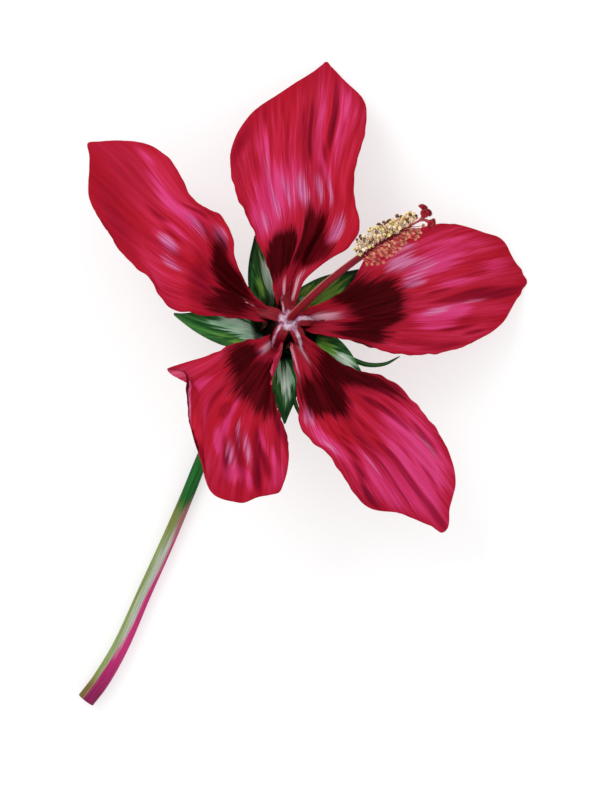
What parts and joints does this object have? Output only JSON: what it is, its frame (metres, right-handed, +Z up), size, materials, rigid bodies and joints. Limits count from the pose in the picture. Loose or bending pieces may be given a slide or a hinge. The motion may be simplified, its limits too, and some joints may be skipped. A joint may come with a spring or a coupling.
{
  "type": "hibiscus flower",
  "caption": "Open scarlet rose mallow flower lying face up on its cut stem: separate wavy petals over pointed sepals and thin bracts, a long arching column of stamens and round stigmas.",
  "frame": {"origin": "under the middle of the object's bounding box, at the height of the surface that the flower lies on", "axes": "+Z up, away from the surface; the flower faces up and its stem runs off toward -Y and -X; +Y is the longest direction"},
  "size_m": [0.1385, 0.1986, 0.0634],
  "materials": {
    "stem": "smooth fresh green stalk, paler and flushed pink toward the cut end",
    "bract": "smooth dark green leaf tissue",
    "sepal": "satin green leaf tissue with a paler middle",
    "petal": "soft satin crimson, streaked pink, almost black toward the claw",
    "stamen": "dark red column with cream anthers",
    "pistil": "velvety deep red stigmas on a thin red style"
  },
  "bodies": {
    "root": {"stem": "stem", "epicalyx": "bract", "calyx": "sepal", "petal_1": "petal", "petal_2": "petal", "petal_3": "petal", "petal_4": "petal", "petal_5": "petal", "stamen_column": "stamen", "pistil": "pistil"}
  },
  "joints": []
}
